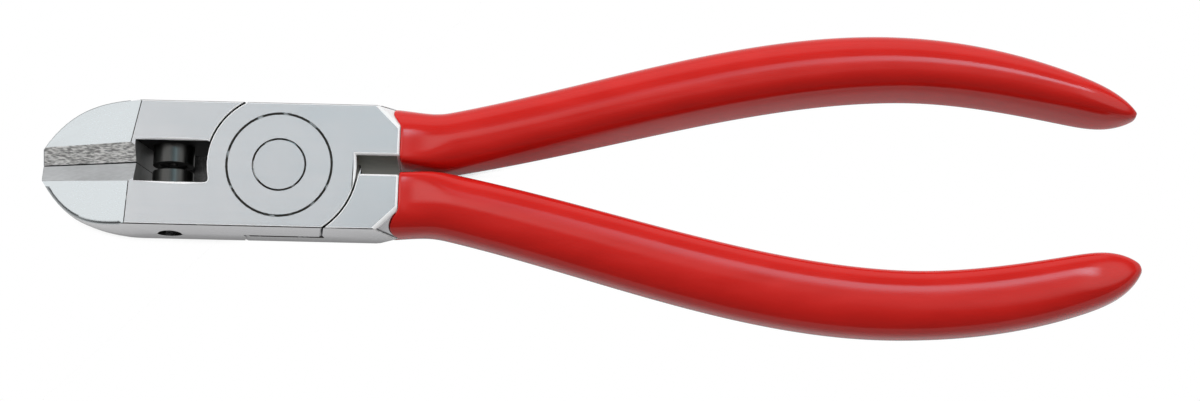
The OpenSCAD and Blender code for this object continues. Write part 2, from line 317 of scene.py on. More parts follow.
def add_cylinder(sides: int, radius: float, depth: float, place: Vector,
                 lying: bool = True) -> Object:
    """Add a cylinder, with its place in its mesh.

    Args:
        sides: Flats around it.
        radius: Radius in metres.
        depth: Length in metres.
        place: Its middle, in metres.
        lying: Whether it lies along Y, or else stands along Z.

    Returns:
        The new object.
    """
    turn = math.radians(90) if lying else 0.0
    bpy.ops.object.select_all(action="DESELECT")
    bpy.ops.mesh.primitive_cylinder_add(
        vertices=sides, radius=radius, depth=depth, location=place, rotation=(turn, 0.0, 0.0))
    bpy.ops.object.transform_apply(location=True, rotation=True, scale=True)
    return bpy.context.object


def shade(colour: Colour, factor: float) -> Colour:
    """A colour made lighter or darker by a factor."""
    return tuple(min(1.0, part * factor) for part in colour)


def blend(x: float, start: float, end: float, first: float, last: float) -> float:
    """A value that changes smoothly from first to last, between two places along the tool."""
    u = min(1.0, max(0.0, (x - start) / (end - start)))
    return first + (last - first) * u ** 2 * (3 - 2 * u)


class NodeSheet:
    """Shader nodes of a material or of the room."""

    def __init__(self, tree: NodeTree) -> None:
        """Start on a node tree."""
        self.tree = tree

    @property
    def shader(self) -> Node:
        """The main shader of a material."""
        return self.tree.nodes["Principled BSDF"]

    def add(self, kind: str, inputs: dict[str | int, Any], **settings: Any) -> Node:
        """Add a node, with each input set or linked.

        Args:
            kind: Node type, without Blender's prefix.
            inputs: Socket names with a value or an output to link.
            settings: Properties of the node.

        Returns:
            The new node.
        """
        node = self.tree.nodes.new("ShaderNode" + kind)
        for key, value in settings.items():
            setattr(node, key, value)
        self.feed(node, inputs)
        return node

    def feed(self, node: Node, inputs: dict[str | int, Any]) -> None:
        """Set or link the inputs of a node.

        Args:
            node: The node that takes them.
            inputs: Socket names with a value or an output to link.
        """
        for key, value in inputs.items():
            if isinstance(value, NodeSocket):
                self.tree.links.new(value, node.inputs[key])
            else:
                node.inputs[key].default_value = value

    def sum(self, operation: str, a: Any, b: Any) -> NodeSocket:
        """A number worked out from two others by Blender's name of the sum."""
        return self.add("Math", {0: a, 1: b}, operation=operation).outputs["Value"]

    def dot(self, look: NodeSocket, way: Vector) -> NodeSocket:
        """How far one direction runs along another."""
        return self.add("VectorMath", {0: look, 1: way}, operation="DOT_PRODUCT").outputs["Value"]

    def mix(self, share: Any, first: Any, second: Any) -> NodeSocket:
        """A shader mixed from two others."""
        return self.add("MixShader", {"Fac": share, 1: first, 2: second}).outputs["Shader"]

    def map(self, value: Any, start: Any, end: Any, low: float, high: float,
            course: str = "LINEAR") -> NodeSocket:
        """A value's range from start to end, laid on the range from low to high."""
        span = {"Value": value, "From Min": start, "From Max": end, "To Min": low, "To Max": high}
        return self.add("MapRange", span, interpolation_type=course).outputs["Result"]

    def spread(self, value: NodeSocket, low: float, high: float) -> NodeSocket:
        """Noise's middle range spread between two values."""
        return self.map(value, *NOISE_RANGE, low, high)

    def noise(self, stretch: Stretch, detail: float) -> NodeSocket:
        """Noise in the piece's own frame.

        Args:
            stretch: Cells per metre along X, Y and Z.
            detail: Finer octaves.

        Returns:
            Noise from 0 to 1.
        """
        place = self.add("TexCoord", {}).outputs["Object"]
        mapped = self.add("Mapping", {"Vector": place, "Scale": stretch}).outputs["Vector"]
        grain = {"Vector": mapped, "Scale": 1.0, "Detail": detail}
        return self.add("TexNoise", grain).outputs["Fac"]

    def ramp(self, value: NodeSocket, *stops: tuple[float, Colour]) -> NodeSocket:
        """Colours along a value.

        Args:
            value: Where on the ramp.
            stops: Places from 0 to 1, with their colours.

        Returns:
            The colour.
        """
        node = self.add("ValToRGB", {"Fac": value})
        elements = node.color_ramp.elements
        while len(elements) < len(stops):
            elements.new(1.0)
        for element, (place, colour) in zip(elements, stops):
            element.position = place
            element.color = (*colour, 1.0)
        return node.outputs["Color"]

    def greys(self, value: NodeSocket, steps: Steps) -> NodeSocket:
        """Grey levels along a value, from places with their levels."""
        return self.ramp(value, *((place, (level,) * 3) for place, level in steps))

    def tones(self, value: NodeSocket, colour: Colour, tone: float,
              ends: tuple[float, float]) -> NodeSocket:
        """A colour from darker to lighter by a share, between two ends on a value."""
        factors = (1.0 - tone, 1.0 + tone)
        return self.ramp(value, *((end, shade(colour, factor)) for end, factor in zip(ends, factors)))

    def bump(self, height: NodeSocket, depth: float, strength: float) -> NodeSocket:
        """The normal of a relief, from a height from 0 to 1 and its depth in millimetres."""
        relief = {"Height": height, "Distance": depth * MM, "Strength": strength}
        return self.add("Bump", relief).outputs["Normal"]


def new_material(name: str) -> tuple[Material, NodeSheet]:
    """Start a material.

    Args:
        name: Name of the material.

    Returns:
        The material and its node sheet.
    """
    material = bpy.data.materials.new(name)
    material.use_nodes = True
    return material, NodeSheet(material.node_tree)


@dataclass(frozen=True)
class BrushedSteel:
    """Steel with fine lines along the tool."""

    name: str
    colour: Colour
    roughness: float
    spread: float
    tone: float
    line_depth: float
    stretch: Stretch = (90.0, 2600.0, 2600.0)
    cloud: float = 160.0
    cloud_detail: float = 2.0
    cloud_share: float = 0.5
    metal: float = 1.0
    specular: float = 0.5
    detail: float = 6.0
    blur: float = 0.15
    relief: float = 0.6

    def material(self) -> Material:
        """Make the material.

        Returns:
            The material.
        """
        material, sheet = new_material(self.name)
        lines = sheet.noise(self.stretch, self.detail)
        clouds = sheet.noise((self.cloud,) * 3, self.cloud_detail)
        grain = sheet.sum("ADD", sheet.sum("MULTIPLY", lines, 1.0 - self.cloud_share),
                          sheet.sum("MULTIPLY", clouds, self.cloud_share))
        middle = sum(NOISE_RANGE) / 2
        ends = (middle - self.blur, middle + self.blur)
        sheet.feed(sheet.shader, {
            "Base Color": sheet.tones(grain, self.colour, self.tone, ends),
            "Metallic": self.metal,
            "Specular IOR Level": self.specular,
            "Roughness": sheet.spread(grain, self.roughness - self.spread, self.roughness + self.spread),
            "Normal": sheet.bump(lines, self.line_depth, self.relief),
        })
        return material


@dataclass(frozen=True)
class WornLine:
    """A fine dark line in polished steel, worn bright in places: the engraved ring and the joints, and
    painted shade along the near rim and the nose line.
    """

    name: str
    dark: Colour
    bright: Colour
    roughness: float
    spread: float = 0.1
    patch: float = 420.0
    detail: float = 3.0
    worn_from: float = 0.56
    worn_to: float = 0.64
    metal: float = 1.0

    def material(self) -> Material:
        """Make the material.

        Returns:
            The material.
        """
        material, sheet = new_material(self.name)
        patches = sheet.noise((self.patch,) * 3, self.detail)
        sheet.feed(sheet.shader, {
            "Base Color": sheet.ramp(patches, (self.worn_from, self.dark), (self.worn_to, self.bright)),
            "Metallic": self.metal,
            "Roughness": sheet.spread(patches, self.roughness + self.spread, self.roughness - self.spread),
        })
        return material


@dataclass(frozen=True)
class DipCoat:
    """Glossy plastic that was dipped and left to flow."""

    name: str
    colour: Colour
    glossiest: float
    dullest: float
    specular: float = 0.5
    ior: float = 1.5
    tone: float = 0.05
    flow: Stretch = (120.0, 420.0, 420.0)
    detail: float = 3.0
    ripple_depth: float = 0.03
    relief: float = 0.15

    def material(self) -> Material:
        """Make the material.

        Returns:
            The material.
        """
        material, sheet = new_material(self.name)
        flow = sheet.noise(self.flow, self.detail)
        sheet.feed(sheet.shader, {
            "Base Color": sheet.tones(flow, self.colour, self.tone, NOISE_RANGE),
            "Roughness": sheet.spread(flow, self.glossiest, self.dullest),
            "IOR": self.ior,
            "Specular IOR Level": self.specular,
            "Normal": sheet.bump(flow, self.ripple_depth, self.relief),
        })
        return material


LEVER_FINISHES: dict[Zone, BrushedSteel | WornLine] = {
    Zone.FACE: BrushedSteel("polished_face", (0.582, 0.582, 0.594), 0.24, 0.03, 0.03, 0.004),
    Zone.NOSE: BrushedSteel("satin_nose", (0.585, 0.62, 0.635), 0.28, 0.03, 0.03, 0.001),
    Zone.ROUGH_FLANK: BrushedSteel(
        "coarse_ground_flank", (0.6, 0.595, 0.585), 0.42, 0.1, 0.5, 0.05, (240.0, 4800.0, 4800.0),
        cloud_share=0.05, metal=0.4, detail=3.0, blur=0.1),
    Zone.FINE_FLANK: BrushedSteel(
        "fine_ground_flank", (0.59, 0.602, 0.612), 0.36, 0.05, 0.1, 0.02, (160.0, 4200.0, 4200.0),
        metal=0.4),
    # Near-black non-metal paint on the walls inside the window and the hole: painted shade
    Zone.WELL: BrushedSteel(
        "dark_wall", (0.03, 0.03, 0.029), 0.6, 0.08, 0.3, 0.02, (900.0, 900.0, 900.0),
        metal=0.0, specular=0.05),
    # Darker, slightly green-grey steel on the walls of the slot between the shoulders
    Zone.SLOT: BrushedSteel(
        "forged_slot_wall", (0.42, 0.425, 0.39), 0.5, 0.08, 0.2, 0.02, (500.0, 900.0, 900.0)),
    # Dark line finish: real in the engraved ring and the joints, painted shade along the near rim and the
    # nose line
    Zone.GROOVE: WornLine("engraved_line", (0.05, 0.045, 0.04), (0.4, 0.41, 0.41), 0.4),
    # Near-white, nearly non-metal paint on the rounded edges: painted highlights along them
    Zone.EDGE: BrushedSteel("bright_edge", (0.96, 0.965, 0.97), 0.42, 0.03, 0.02, 0.002, metal=0.05),
    # Steel darkened to about half on the sloping wall in the window: painted shade
    Zone.RAMP: BrushedSteel(
        "sloping_wall", (0.3, 0.302, 0.3), 0.45, 0.08, 0.2, 0.02, (900.0, 900.0, 900.0), metal=0.7),
}
RIVET_STEEL = BrushedSteel("flush_rivet", (0.577, 0.577, 0.589), 0.25, 0.03, 0.03, 0.004)
# Dark grey steel for the dies and their screws
DIE_STEEL = BrushedSteel(
    "blackened_die", (0.085, 0.085, 0.082), 0.34, 0.05, 0.25, 0.01, (2400.0, 200.0, 2400.0))
SCREW_STEEL = BrushedSteel(
    "blackened_screw", (0.1, 0.1, 0.095), 0.4, 0.05, 0.25, 0.01, (900.0, 900.0, 900.0))
RED_COAT = DipCoat("red_dip_coat", (0.64, 0.014, 0.010), 0.10, 0.15)


@dataclass
class Piece(ABC):
    """A piece of the tool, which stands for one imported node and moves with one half."""

    slot: ClassVar[Slot]
    finishes: ClassVar[int] = 1
    name: str
    node: str
    body: Body

    def begin(self, piece: Object) -> Bench:
        """Name a new object, give it empty material slots and take it onto the bench.

        Args:
            piece: The new object.

        Returns:
            The bench with it.
        """
        piece.name = self.name
        piece.data.materials.clear()
        for _ in range(self.finishes):
            piece.data.materials.append(None)
        return Bench(piece)

    @abstractmethod
    def build(self) -> Object:
        """Make the piece's mesh."""

    def dress(self, piece: Object, *materials: Material) -> None:
        """Give the piece its finishes and let it ride on its half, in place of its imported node.

        Args:
            piece: The built piece.
            materials: Its finishes, in the order of their indices.
        """
        for index, material in enumerate(materials):
            piece.data.materials[index] = material
        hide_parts(self.node)
        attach(piece, self.body.value)
        LOG.info("%s: %d faces", piece.name, len(piece.data.polygons))


@dataclass(frozen=True)
class EdgeWidths:
    """Widths of the roundings along a lever's edges, in millimetres."""

    window: float = 0.35
    seam: float = 0.15
    slot: float = 0.35
    corner_face: float = 0.45
    corner: float = 0.28
    chamfer: float = 0.05
    lap: float = 0.3
    tip: float = 0.15
    far_rim: float = 0.12
    near_rim: float = 0.6
    near_rim_y: float = 3.4
    nose_line: float = 0.07
    ring_line: float = 0.05
    cut_line: float = 0.05
    greatest: float = 0.6


@dataclass(frozen=True)
class FaceWays:
    """Parts of a face's unit normal along an axis that tell a lever's surfaces apart."""

    level: float = 0.995
    flank_up: float = 0.8
    ramp_back: float = 0.7
    window_back: float = 0.5
    chamfer: float = 0.35
    rim_up: float = 0.3
    lean: float = 0.25
    upright: float = 0.2
    nose_fall: float = 0.15


@dataclass(frozen=True)
class Margins:
    """How near to a place a face or an edge of a lever counts as there, in millimetres."""

    skin: float = 0.005
    reach: float = 0.05
    fit: float = 0.1
    lap: float = 0.2
    groove: float = 0.3
    edge: float = 0.4
    side: float = 0.45
    wall: float = 0.5
    around: float = 1.0


WAYS = FaceWays()
NEAR = Margins()


@dataclass
class Lever(Piece):
    """A forged lever: a merged copy of its solid, with rounded edges and worked surfaces, some painted
    with highlights and shade.
    """

    slot: ClassVar[Slot] = Slot.STEEL
    finishes: ClassVar[int] = len(Zone)
    turned: bool
    flank: Zone
    corner: Zone
    edges: EdgeWidths = EdgeWidths()
    merged: float = 0.002
    flat: float = 0.5
    sharp: float = 18.0
    smooth: float = 28.0
    lap_turn: float = 60.0

    def own(self, point: Vector) -> Vector:
        """A place in metres in the frame of the lever whose jaw is at -Y, in millimetres."""
        p = point / MM
        return Vector((p.x, -p.y, HEAD.thickness - p.z)) if self.turned else p

    def own_way(self, way: Vector) -> Vector:
        """A direction of the part in the frame of the lever whose jaw is at -Y."""
        return Vector((way.x, -way.y, -way.z)) if self.turned else way

    def ends(self, edge: BMEdge) -> list[Vector]:
        """The ends of an edge, in the lever's own frame."""
        return [self.own(vertex.co) for vertex in edge.verts]

    def ways(self, edge: BMEdge) -> list[Vector]:
        """Directions of the faces beside an edge, the most upright face first."""
        return sorted((self.own_way(face.normal) for face in edge.link_faces), key=lambda way: abs(way.z))

    def is_facet(self, way: Vector) -> bool:
        """Whether a face with this direction slopes to the tip."""
        return way.x < -WAYS.nose_fall and abs(way.z) > SQUARE

    def is_corner(self, way: Vector) -> bool:
        """Whether a face with this direction is a facet of the shoulder's outer corner."""
        return way.x > WAYS.lean and abs(way.y) > WAYS.lean and abs(way.z) > WAYS.upright

    def zone(self, centre: Vector, normal: Vector) -> Zone:
        """Which zone a face belongs to, among worked surfaces, painted highlights and painted shade.

        Args:
            centre: Middle of the face, in metres.
            normal: Its direction.

        Returns:
            The zone.
        """
        p = self.own(centre)
        way = self.own_way(normal)
        to_face = min(p.z, HEAD.thickness - p.z)
        outward = abs(p.y) - HEAD.face_half_width
        if p.x < -HEAD.window_x:
            if normal.z > WAYS.flank_up and abs(normal.y) > WAYS.lean:
                return self.flank
            return Zone.NOSE if self.is_facet(way) else Zone.FACE
        if abs(p.xy.length - HEAD.ring_r) < HEAD.ring_w and NEAR.skin < to_face < NEAR.groove:
            return Zone.GROOVE
        # Shoulder corner facets: on the top lever they take the painted highlight of the EDGE finish
        if p.x > HEAD.corner_x - NEAR.around and self.is_corner(way):
            return self.corner
        # Chamfers facing the near side get the dark line finish: painted shade along the near rim
        if outward > -NEAR.side and WAYS.chamfer < normal.z < SQUARE and normal.y < -WAYS.chamfer:
            return Zone.GROOVE
        sloped = abs(way.z) > WAYS.chamfer and to_face < NEAR.wall
        if abs(way.z) > SQUARE or sloped or p.x > HEAD.shoulder_x - NEAR.reach:
            return Zone.FACE
        # The sloping wall at the window's front gets darkened steel: painted shade
        if p.x < NEAR.around - HEAD.window_x + HEAD.ramp_run and way.x > WAYS.ramp_back:
            return Zone.RAMP
        if p.x > HEAD.cheek_rear_r - NEAR.around and abs(p.y) < HEAD.slot_near + NEAR.wall:
            return Zone.SLOT
        # Faces inside the window and the screw hole get painted shade
        return Zone.FACE if outward > -NEAR.edge and not self.in_screw_hole(p) else Zone.WELL

    def in_screw_hole(self, p: Vector) -> bool:
        """Whether a point lies in the hole at the jaw's side."""
        off = math.hypot(p.x + HEAD.die_x, p.z - HEAD.middle)
        return off < HEAD.screw_hole_r + NEAR.fit and p.y < -HEAD.screw_hole_y

    def at_tang(self, p: Vector) -> bool:
        """Whether a point lies where the tang leaves the shoulder."""
        off = abs(p.y - TANG.root.y) - TANG.root.half_w, abs(p.z - HEAD.middle) - TANG.half_t
        return p.x > HEAD.shoulder_x - NEAR.reach and max(off) < NEAR.fit

    def at_nose_line(self, edge: BMEdge) -> bool:
        """Whether an edge is the line between a face and a facet that slopes to the tip."""
        facet, *faces = self.ways(edge)
        return (len(faces) == 1 and abs(faces[0].z) >= WAYS.level and self.is_facet(facet)
                and abs(facet.y) < WAYS.lean)

    def at_cut_line(self, edge: BMEdge) -> bool:
        """Whether an edge is the cutting edge of the jaw."""
        ground = any(face.material_index == self.flank.value for face in edge.link_faces)
        return ground and any(way.y > SQUARE for way in self.ways(edge))

    def at_ring_line(self, edge: BMEdge) -> bool:
        """Whether an edge is a rim of the engraved circle."""
        return all(p.z >= HEAD.thickness - NEAR.skin and abs(p.xy.length - HEAD.ring_r) < HEAD.ring_w
                   for p in self.ends(edge))

    def at_lap_line(self, edge: BMEdge) -> bool:
        """Whether an edge runs along the lap at the head's side."""
        turned_in = edge.calc_face_angle(0.0) > math.radians(self.lap_turn)
        return turned_in and abs(self.ways(edge)[0].z) < WAYS.upright and all(
            abs(p.z - HEAD.middle) < NEAR.lap and abs(p.y) > HEAD.face_half_width for p in self.ends(edge))

    def at_zone_line(self, edge: BMEdge) -> bool:
        """Whether an edge is a shallow one between two worked surfaces."""
        zones = {face.material_index for face in edge.link_faces}
        return len(zones) == 2 and edge.calc_face_angle(0.0) < math.radians(self.smooth)

    def edge_rounding(self, edge: BMEdge) -> float:
        """How wide an edge is rounded.

        Args:
            edge: An edge of the merged copy.

        Returns:
            Width in millimetres, 0 where it stays as it is.
        """
        if len(edge.link_faces) != 2 or not edge.is_convex:
            return 0.0
        a, b = self.ends(edge)
        middle = (a + b) / 2
        radius = middle.xy.length
        ways = self.ways(edge)
        level = min(a.z, b.z) > HEAD.thickness - NEAR.reach or max(a.z, b.z) < NEAR.reach
        sharp = edge.calc_face_angle(0.0) > math.radians(self.sharp)
        fixed = max(a.x, b.x) > HEAD.shoulder_x + NEAR.reach or self.at_tang(middle)
        if not sharp or fixed or radius < HEAD.ring_r + NEAR.around or self.in_screw_hole(middle):
            return 0.0
        if middle.x < -HEAD.window_x + NEAR.reach:
            return self.nose_rounding(middle, ways)
        if middle.x > HEAD.corner_x - NEAR.around and any(map(self.is_corner, ways)):
            return self.edges.corner_face if level else self.edges.corner
        if abs(middle.y) > HEAD.face_half_width - NEAR.side:
            return self.edges.chamfer if level else 0.0
        at_rear = middle.x > HEAD.shoulder_x - NEAR.reach
        if not level:
            return self.edges.slot if at_rear else 0.0
        if at_rear or middle.x > 0 and abs(middle.y) < HEAD.slot_near + NEAR.reach:
            return self.edges.slot
        cheeks = (HEAD.cheek_front_r, HEAD.cheek_rear_r)
        at_cheek = any(abs(radius - cheek) < NEAR.edge for cheek in cheeks)
        return self.edges.seam if at_cheek else self.edges.window

    def nose_rounding(self, middle: Vector, ways: list[Vector]) -> float:
        """How wide an edge of the nose is rounded.

        Args:
            middle: Middle of the edge, in the lever's own frame.
            ways: Directions of the two faces beside it.

        Returns:
            Width in millimetres, 0 where it stays sharp.
        """
        if any(way.y > SQUARE or way.x > WAYS.window_back for way in ways):
            return 0.0
        if any(way.x < -SQUARE for way in ways):
            return self.edges.tip
        if not any(map(self.is_facet, ways)) or min(abs(way.z) for way in ways) > WAYS.rim_up:
            return 0.0
        if middle.z < HEAD.middle:
            return self.edges.far_rim
        return self.edges.near_rim if abs(middle.y) > self.edges.near_rim_y else 0.0

    def build(self) -> Object:
        """Copy the solid, merge it, tell its surfaces apart and round its edges.

        Returns:
            The new piece.
        """
        piece = bpy.data.objects.new(self.name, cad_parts[self.node].data.copy())
        bpy.context.scene.collection.objects.link(piece)
        bench = self.begin(piece)
        bench.take()
        bpy.ops.mesh.customdata_custom_splitnormals_clear()
        with bench.editing():
            bpy.ops.mesh.select_all(action="SELECT")
            bpy.ops.mesh.remove_doubles(threshold=self.merged * MM)
            for x in (0.0, -HEAD.die_x):
                bench.split(x)
            self.mark_zones(bench)
            bpy.ops.mesh.select_all(action="SELECT")
            bpy.ops.mesh.dissolve_limited(
                angle_limit=math.radians(self.flat), delimit={"MATERIAL", "SEAM"})
            # Dark lines: painted shade along the nose line; the joints at the cutting edge and the lap and
            # the engraved ring's rims
            for line, width in ((self.at_nose_line, self.edges.nose_line),
                                (self.at_cut_line, self.edges.cut_line),
                                (self.at_ring_line, self.edges.ring_line),
                                (self.at_lap_line, self.edges.lap)):
                bench.pick(Part.EDGE, line)
                bench.round_edges(width, 1, Zone.GROOVE.value)
            bench.pick(Part.EDGE, self.at_zone_line)
            bpy.ops.mesh.mark_sharp()
            self.mark_edges(bench)
        # Every rounding gets the EDGE finish: a painted highlight along the edges
        bench.modify("BEVEL", width=self.edges.greatest * MM, segments=3, limit_method="WEIGHT",
                     use_clamp_overlap=False, material=Zone.EDGE.value)
        # Roundings at the nose take the nose steel instead of the painted highlight
        for face in piece.data.polygons:
            if face.material_index == Zone.EDGE.value and self.own(face.center).x < -HEAD.nose_x:
                face.material_index = Zone.NOSE.value
        bench.finish(self.smooth)
        return piece

    def mark_zones(self, bench: Bench) -> None:
        """Write each face's zone as its material index.

        Args:
            bench: The bench with the merged copy, in edit mode.
        """
        with bench.mesh() as mesh:
            mesh.normal_update()
            for face in mesh.faces:
                face.material_index = self.zone(face.calc_center_median(), face.normal).value

    def mark_edges(self, bench: Bench) -> None:
        """Write each edge's rounding as its bevel weight.

        Args:
            bench: The bench with the merged copy, in edit mode.
        """
        with bench.mesh() as mesh:
            mesh.normal_update()
            weight = mesh.edges.layers.float.new("bevel_weight_edge")
            for edge in mesh.edges:
                edge[weight] = self.edge_rounding(edge) / self.edges.greatest


@dataclass
class SealDie(Piece):
    """A stamping die: a turned cylinder with a rim, a recess and a plain stud on its face."""

    slot: ClassVar[Slot] = Slot.DIE
    finishes: ClassVar[int] = 2
    facing: int
    rim: float = 0.9
    recess: float = 0.35
    stud_r: float = 0.7
    edge: float = 0.12
    sides: int = 72
    stamping: float = 0.5

    def build(self) -> Object:
        """Turn the die from a cylinder, with painted shade as its second finish on the stamping face.

        Returns:
            The new piece.
        """
        low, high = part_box(self.node)
        radius = (high.x - low.x) / 2
        bench = self.begin(add_cylinder(self.sides, radius, high.y - low.y, (low + high) / 2))
        with bench.editing():
            bench.pick(Part.FACE, lambda face: face.normal.y * self.facing > SQUARE)
            bpy.ops.mesh.inset(thickness=self.rim * MM)
            bench.push(-self.facing * self.recess)
            bpy.ops.mesh.inset(thickness=radius - (self.rim + self.stud_r) * MM)
            bench.push(self.facing * self.recess)
            bench.pick_sharp()
            bench.round_edges(self.edge)
        for face in bench.piece.data.polygons:
            face.material_index = int(face.normal.y * self.facing > self.stamping)
        bench.finish()
        return bench.piece


@dataclass
class DieScrew(Piece):
    """A socket screw that draws a die into its seat."""

    slot: ClassVar[Slot] = Slot.SCREW
    facing: int
    head_h: float = 1.5
    shank_r: float = 1.0
    key_sides: int = 6
    key_w: float = 1.5
    key_depth: float = 0.9
    edge: float = 0.1
    sides: int = 60

    def build(self) -> Object:
        """Turn the screw and sink its key socket.

        Returns:
            The new piece.
        """
        low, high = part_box(self.node)
        radius = (high.x - low.x) / 2
        middle = (low + high) / 2
        outer_y = high.y if self.facing > 0 else low.y
        mouth = Vector((middle.x, outer_y, middle.z))
        middle.y = outer_y - self.facing * self.head_h * MM / 2
        bench = self.begin(add_cylinder(self.sides, radius, self.head_h * MM, middle))
        with bench.editing():
            bench.pick(Part.FACE, lambda face: face.normal.y * self.facing < -SQUARE)
            bpy.ops.mesh.inset(thickness=radius - self.shank_r * MM)
            bench.push(-self.facing * ((high.y - low.y) / MM - self.head_h))
            bench.pick_sharp()
            bench.round_edges(self.edge)
        key_r = self.key_w / math.sqrt(3) * MM
        cutter = add_cylinder(self.key_sides, key_r, 2 * self.key_depth * MM, mouth)
        bench.modify("BOOLEAN", object=cutter, operation="DIFFERENCE", solver="EXACT")
        bpy.data.objects.remove(cutter)
        bench.finish()
        return bench.piece


@dataclass
class PivotRivet(Piece):
    """The rivet of the lap joint, ground flush on both faces."""

    slot: ClassVar[Slot] = Slot.RIVET
    finishes: ClassVar[int] = 2
    head_h: float = 1.2
    shank_r: float = 2.5
    edge: float = 0.25
    level: float = 0.01
    sides: int = 96

    def build(self) -> Object:
        """Form the rivet from its upper head down, with its second finish around the heads.

        Returns:
            The new piece.
        """
        low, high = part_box(self.node)
        head_r = high.x
        place = Vector((0.0, 0.0, high.z - self.head_h * MM / 2))
        bench = self.begin(add_cylinder(self.sides, head_r, self.head_h * MM, place, lying=False))
        with bench.editing():
            bench.pick(Part.FACE, lambda face: face.normal.z < -SQUARE)
            bpy.ops.mesh.inset(thickness=head_r - self.shank_r * MM)
            bench.push(z=2 * self.head_h - (high.z - low.z) / MM)
            bench.push()
            spread = head_r / (self.shank_r * MM)
            bpy.ops.transform.resize(value=(spread, spread, 1.0))
            bench.push(z=-self.head_h)
            bench.pick(Part.EDGE, lambda edge: self.at_rim(edge, low.z, high.z))
            bench.round_edges(self.edge, segments=2, finish=1)
        bench.finish()
        return bench.piece

    def at_rim(self, edge: BMEdge, *faces: float) -> bool:
        """Whether an edge lies in one of the rivet's flush faces, given by their heights."""
        return any(all(abs(vertex.co.z - face) < self.level * MM for vertex in edge.verts)
                   for face in faces)


@dataclass(frozen=True)
class Section:
    """One section of a sleeve: half widths outside and inside, half thickness and curve powers."""

    x: float
    outer_w: float
    inner_w: float
    t: float
    outer_power: float
    inner_power: float
    foot: float = 0.0
    lean: float = 0.0
    skin: bool = False


